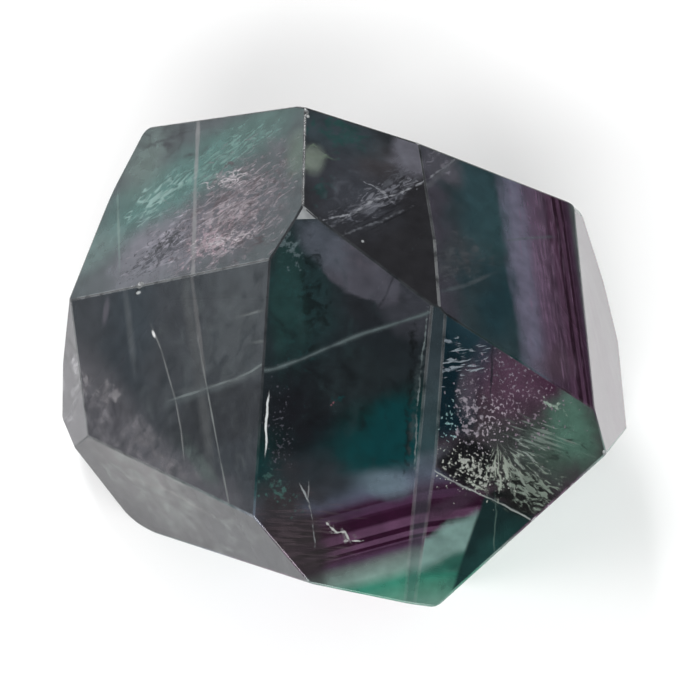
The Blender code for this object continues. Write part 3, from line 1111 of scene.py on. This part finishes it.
@dataclass(frozen=True)
class Bite:
    """A small shell-shaped chip, broken out at a point on a facet or its edge.

    Attributes:
        facet: The facet's name.
        spot: Where it lies on the facet's map, in millimetres.
        size: Half its length, half its width and its depth, in millimetres.
        turn: The way its length runs, in degrees up from the map's u.
        roughness: How far its face is bumpy, as a share of its smallest size.
    """

    facet: str
    spot: tuple[float, float]
    size: tuple[float, float, float]
    turn: float
    roughness: float = 0.16

    @property
    def middle(self) -> Vector:
        """The chip's middle, in metres."""
        return FACETS[self.facet].place(*self.spot)

    def cut(self, stone: bpy.types.Object, number: int) -> None:
        """Breaks the chip out of the stone.

        Args:
            stone: The stone's object.
            number: The chip's number, which sets the bumps on its face.
        """
        bpy.ops.object.select_all(action="DESELECT")
        bpy.ops.mesh.primitive_ico_sphere_add(subdivisions=2, radius=1.0, location=self.middle)
        cutter = bpy.context.object
        cutter.name = f"chip_{number}"
        cutter.scale = Vector(self.size) * MM
        cutter.rotation_euler = FACETS[self.facet].turned(self.turn)
        bpy.ops.object.transform_apply(location=True, rotation=True, scale=True)
        bpy.ops.object.mode_set(mode="EDIT")
        bpy.ops.mesh.select_all(action="SELECT")
        bpy.ops.transform.vertex_random(offset=self.roughness * min(self.size) * MM, seed=number)
        bpy.ops.object.mode_set(mode="OBJECT")
        bpy.context.view_layer.objects.active = stone
        stone.select_set(True)
        broken = stone.modifiers.new("broken_out", "BOOLEAN")
        broken.operation = "DIFFERENCE"
        broken.object = cutter
        bpy.ops.object.modifier_apply(modifier=broken.name)
        bpy.data.objects.remove(cutter, do_unlink=True)


@dataclass
class GroundStone:
    """The stone, ground from a block, tumbled and a little chipped.

    Attributes:
        rounded: Edges that tumbling rounded more than their neighbours, with their wear.
        painted_edge_highlight: Edges that carry a painted highlight, with how strong, from 0 to 1.
        slightly_painted_edge_highlight: How strong the painted highlight is on the other edges.
        bites: The chips.
        faint_angle: Two facets that meet at less than this keep the faint line between them.
        segments: How many strips round an edge.
        soft_angle: Faces that meet at less than this are shaded as one.
        flat_weight: How much more the large faces count for the shading than the strips, up to 100.
        cut_tolerance: How near a corner lies to a cut that goes through it, in metres.
        flat_depth: How near to a facet's plane a face lies that is part of the facet, in millimetres.
        chip_reach: How many times its size round a chip's middle its faces are looked for.
        chip_face: The largest face that a chip can have, in square metres.
    """

    rounded: dict[tuple[str, str], float] = field(
        default_factory=lambda: {
            ("left_end", "under_left"): 0.9,
            ("left_back_wall", "left_end"): 0.9,
            ("under_front", "under_left"): 1.6,
            ("right_back_wall", "under_right_back"): 1.6,
            ("right_end", "under_right_back"): 1.2,
            ("back_crown", "right_back_wall"): 1.6,
            ("left_back_wall", "under_left_back"): 1.6,
            ("back_wall", "under_back"): 0.9,
            ("back_crown", "right_wall"): 1.2,
        }
    )
    # A painted highlight along these edges, with its strength.
    painted_edge_highlight: dict[tuple[str, str], float] = field(
        default_factory=lambda: {
            ("left_crown", "left_slope"): 0.42,
            ("left_crown", "top_step"): 0.45,
            ("table", "table_arris"): 0.2,
            ("front_right", "table_arris"): 0.22,
            ("front_right_toe", "table_arris"): 0.2,
            ("right_crown", "top_step"): 0.7,
            ("right_crown_rear", "top_step"): 0.3,
            ("right_crown", "right_wall"): 0.3,
            ("left_sliver", "left_slope"): 0.4,
            ("front_left_wall", "left_slope"): 0.3,
        }
    )
    slightly_painted_edge_highlight: float = 0.08
    bites: tuple[Bite, ...] = (
        Bite("left_slope", (-19.0, -12.2), (0.75, 0.5, 0.4), 60),
        Bite("top_step", (9.4, 7.4), (0.5, 0.3, 0.25), -15),
        Bite("top_step", (25.6, 4.8), (0.45, 0.35, 0.3), 0),
        Bite("top_step", (21.0, -9.3), (0.5, 0.25, 0.3), 0),
        Bite("front_right", (12.9, -27.6), (0.5, 0.3, 0.25), 62),
        Bite("front_right", (6.7, -28.0), (0.55, 0.2, 0.22), 3),
        Bite("front_right", (2.2, -28.1), (0.35, 0.22, 0.25), -6),
        Bite("front_right", (-0.6, -28.1), (0.6, 0.24, 0.3), 12),
        Bite("front_right", (-2.3, -28.3), (0.45, 0.3, 0.3), -8),
        Bite("front_right", (-3.7, -28.3), (0.6, 0.26, 0.32), 6),
        Bite("front_right", (-5.6, -28.3), (0.4, 0.2, 0.25), 0),
    )
    faint_angle: float = 4.0
    segments: int = 6
    soft_angle: float = 24.0
    flat_weight: int = 100
    cut_tolerance: float = 1e-7
    flat_depth: float = 0.01
    chip_reach: float = 1.2
    chip_face: float = 1e-6

    def build(self) -> bpy.types.Object:
        """Grinds, tumbles and chips the stone.

        Returns:
            The stone's object.
        """
        stone = self.ground()
        self.mark_edges(stone)
        self.tumble(stone)
        for number, bite in enumerate(self.bites):
            bite.cut(stone, number)
        self.shade(stone)
        self.mark_wear_and_highlight(stone)
        return stone

    def ground(self) -> bpy.types.Object:
        """Cuts a block down facet by facet.

        Returns:
            The stone's object, with sharp edges.
        """
        bpy.ops.object.select_all(action="DESELECT")
        bpy.ops.mesh.primitive_cube_add(size=BLANK_SIZE * MM, location=GRINDING_CENTRE * MM)
        stone = bpy.context.object
        stone.name = stone.data.name = "polished_stone"
        bpy.ops.object.transform_apply(location=True, rotation=True, scale=True)
        bpy.ops.object.mode_set(mode="EDIT")
        for facet in (*FACETS.values(), BRUISE, *CORNER_FLATS):
            bpy.ops.mesh.select_all(action="SELECT")
            bpy.ops.mesh.bisect(
                plane_co=facet.place(0.0, 0.0),
                plane_no=facet.normal,
                use_fill=True,
                clear_outer=True,
                threshold=self.cut_tolerance,
            )
        bpy.ops.mesh.select_all(action="SELECT")
        bpy.ops.mesh.normals_make_consistent(inside=False)
        bpy.ops.object.mode_set(mode="OBJECT")
        return stone

    def wear_of(self, first: str, second: str, angle: float) -> float:
        """How far the edge between two facets is worn back.

        Args:
            first: The name of one of them.
            second: The name of the other.
            angle: The angle between their normals, in radians.

        Returns:
            The wear on either side, in millimetres.
        """
        pair = tuple(sorted((first, second)))
        if pair in self.rounded:
            return self.rounded[pair]
        if angle < math.radians(self.faint_angle):
            return Wear.FAINT.value
        if first in UNDER_FACETS and second in UNDER_FACETS:
            return Wear.UNDER.value
        if first in SHOW_FACETS and second in SHOW_FACETS:
            return Wear.SHOW.value
        return Wear.GIRDLE.value

    def mark_edges(self, stone: bpy.types.Object) -> None:
        """Writes each edge's wear as its bevel weight, as a share of the widest one.

        Args:
            stone: The stone's object, with sharp edges.
        """
        mesh = stone.data
        names = [
            max(FACETS, key=lambda name: FACETS[name].normal.dot(face.normal)) for face in mesh.polygons
        ]
        sides: dict[tuple[int, int], list[int]] = {}
        for face in mesh.polygons:
            for key in face.edge_keys:
                sides.setdefault(key, []).append(face.index)
        weights = mesh.attributes.new("bevel_weight_edge", "FLOAT", "EDGE")
        widest = max(self.rounded.values())
        for edge in mesh.edges:
            one, other = sides[tuple(sorted(edge.vertices))]
            angle = mesh.polygons[one].normal.angle(mesh.polygons[other].normal)
            weights.data[edge.index].value = self.wear_of(names[one], names[other], angle) / widest

    def tumble(self, stone: bpy.types.Object) -> None:
        """Rounds the marked edges.

        Args:
            stone: The stone's object.
        """
        bevel = stone.modifiers.new("tumbled_edges", "BEVEL")
        bevel.limit_method = "WEIGHT"
        bevel.offset_type = "OFFSET"
        bevel.width = max(self.rounded.values()) * MM
        bevel.segments = self.segments
        bevel.use_clamp_overlap = False
        bpy.ops.object.modifier_apply(modifier=bevel.name)

    def shade(self, stone: bpy.types.Object) -> None:
        """Shades the rounded edges as round, and keeps the facets flat to the light.

        Args:
            stone: The stone's object.
        """
        bpy.ops.object.shade_smooth_by_angle(angle=math.radians(self.soft_angle))
        flat = stone.modifiers.new("flat_facets", "WEIGHTED_NORMAL")
        flat.weight = self.flat_weight
        flat.keep_sharp = True
        bpy.ops.object.modifier_apply(modifier=flat.name)

    def wear_and_highlight_at(self, face: bpy.types.MeshPolygon) -> float:
        """How far a face has lost its polish, wholly where it is broken, and on the edges how strong the
        painted highlight is.

        Args:
            face: The face.

        Returns:
            The value for the wear and the painted highlight, from 0 to 1.
        """
        if face.normal.dot(BRUISE.normal) > SAME_WAY:
            return 1.0
        for bite in self.bites:
            near = self.chip_reach * max(bite.size) * MM
            if (face.center - bite.middle).length < near and face.area < self.chip_face:
                return 1.0
        spot = face.center / MM - GRINDING_CENTRE
        depth = {name: abs(facet.reach - facet.normal.dot(spot)) for name, facet in FACETS.items()}
        first, second = sorted(depth, key=depth.get)[:2]
        if depth[first] < self.flat_depth and face.normal.dot(FACETS[first].normal) > SAME_WAY:
            return 0.0
        # Any other face on an edge gets the painted edge highlight.
        return self.painted_edge_highlight.get(tuple(sorted((first, second))), self.slightly_painted_edge_highlight)

    def mark_wear_and_highlight(self, stone: bpy.types.Object) -> None:
        """Writes on each face how far it has lost its polish, and on the edges how strong the painted
        highlight is.

        Args:
            stone: The stone's object.
        """
        worn = stone.data.attributes.new(WEAR_AND_EDGE_HIGHLIGHT, "FLOAT", "FACE")
        for face in stone.data.polygons:
            worn.data[face.index].value = self.wear_and_highlight_at(face)


# ---------------------------------------------------------------------------------------------
# The studio
# ---------------------------------------------------------------------------------------------


@dataclass(frozen=True)
class Softbox:
    """One soft area light.

    Attributes:
        name: What it does.
        towards: The way from the stone to the light.
        distance: How far off it hangs, in millimetres.
        size: Its sides, in millimetres.
        watts: Its power.
    """

    name: str
    towards: tuple[float, float, float]
    distance: float
    size: tuple[float, float]
    watts: float


@dataclass(frozen=True)
class BoardFinish:
    """Matt white display board: to the eye an even pale ground with soft shadows and no shine."""

    name: str = "matt_white_board"
    colour: str = "fbfbfb"
    roughness: float = 0.9

    def make(self) -> bpy.types.Material:
        """Builds the material.

        Returns:
            The finished material.
        """
        material = bpy.data.materials.new(self.name)
        material.use_nodes = True
        shader = material.node_tree.nodes["Principled BSDF"]
        shader.inputs["Base Color"].default_value = linear(self.colour)
        shader.inputs["Roughness"].default_value = self.roughness
        return material


@dataclass
class Studio:
    """A pale floor, soft lights, dim air round them and the camera.

    Attributes:
        aim: The point that the camera looks at, in millimetres.
        elevation: How far up the camera stands, seen from there, in degrees.
        distance: How far off it stands, in millimetres.
        lens: Its focal length, in millimetres.
        sensor: Its sensor's width, in millimetres.
        air: The strength of the dim light from all round.
        floor_size: The side of the floor, in millimetres.
        bounces: How often light is followed, by its kind.
        softboxes: The lights.
    """

    aim: Vector = Vector((1.12, -12.44, 41.5))
    elevation: float = 55.0
    distance: float = 450.0
    lens: float = 187.0
    sensor: float = 36.0
    air: float = 0.155
    floor_size: float = 6000.0
    bounces: dict[str, int] = field(
        default_factory=lambda: {
            "max_bounces": 5,
            "diffuse_bounces": 2,
            "glossy_bounces": 3,
            "transmission_bounces": 4,
        }
    )
    softboxes: tuple[Softbox, ...] = (
        Softbox("front_softbox", (-0.05, -0.88, 0.47), 1100.0, (900.0, 520.0), 15.0),
        Softbox("left_softbox", (-0.84, -0.40, 0.37), 1100.0, (420.0, 420.0), 7.0),
        Softbox("right_softbox", (0.62, -0.74, 0.27), 1100.0, (420.0, 420.0), 6.0),
        Softbox("back_softbox", (-0.28, 0.80, 0.53), 1100.0, (360.0, 360.0), 9.0),
        Softbox("left_card", (-0.78, 0.61, 0.13), 900.0, (520.0, 300.0), 0.25),
    )

    def build(self) -> None:
        """Sets up the floor, the lights, the air and the camera."""
        self.lay_floor()
        for softbox in self.softboxes:
            self.hang(softbox)
        self.fill_air()
        self.set_camera()
        bpy.context.scene.view_settings.view_transform = "Standard"
        cycles = bpy.context.scene.cycles
        for kind, limit in self.bounces.items():
            setattr(cycles, kind, limit)
        cycles.caustics_reflective = False

    def lay_floor(self) -> None:
        """A wide pale sweep under the stone."""
        bpy.ops.object.select_all(action="DESELECT")
        bpy.ops.mesh.primitive_plane_add(size=self.floor_size * MM, location=(0.0, 0.0, 0.0))
        floor = bpy.context.object
        floor.name = "studio_floor"
        floor.data.materials.append(BoardFinish().make())

    @staticmethod
    def hang(softbox: Softbox) -> None:
        """Hangs one softbox, turned to the stone.

        Args:
            softbox: The softbox.
        """
        data = bpy.data.lights.new(softbox.name, "AREA")
        data.shape = "RECTANGLE"
        data.size, data.size_y = (side * MM for side in softbox.size)
        data.energy = softbox.watts
        light = bpy.data.objects.new(softbox.name, data)
        bpy.context.scene.collection.objects.link(light)
        towards = Vector(softbox.towards).normalized()
        light.location = GRINDING_CENTRE * MM + towards * softbox.distance * MM
        light.rotation_euler = towards.to_track_quat("Z", "Y").to_euler()

    def fill_air(self) -> None:
        """Gives the room its dim light from all round."""
        world = bpy.data.worlds.new("dim_studio")
        bpy.context.scene.world = world
        world.use_nodes = True
        background = world.node_tree.nodes["Background"]
        background.inputs["Color"].default_value = linear("ffffff")
        background.inputs["Strength"].default_value = self.air

    def set_camera(self) -> None:
        """Puts the camera in front of the stone, looking down at it."""
        data = bpy.data.cameras.new("camera")
        data.sensor_width = self.sensor
        data.lens = self.lens
        camera = bpy.data.objects.new("camera", data)
        bpy.context.scene.collection.objects.link(camera)
        lift = math.radians(self.elevation)
        back = Vector((0.0, -math.cos(lift), math.sin(lift)))
        camera.location = (self.aim + back * self.distance) * MM
        camera.rotation_euler = back.to_track_quat("Z", "Y").to_euler()
        bpy.context.scene.camera = camera


def main() -> None:
    """Builds the studio and the stone."""
    logging.basicConfig(level=logging.INFO, format="%(message)s")
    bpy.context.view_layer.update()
    Studio().build()
    log.info("studio: floor, lights and camera")
    stone = GroundStone().build()
    stone.data.materials.clear()
    stone.data.materials.append(FluoriteFinish().make())
    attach(stone, BODY_NAME)
    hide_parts(NODE_NAME)
    log.info("polished_stone: %d faces", len(stone.data.polygons))


if __name__ == "__main__":
    main()
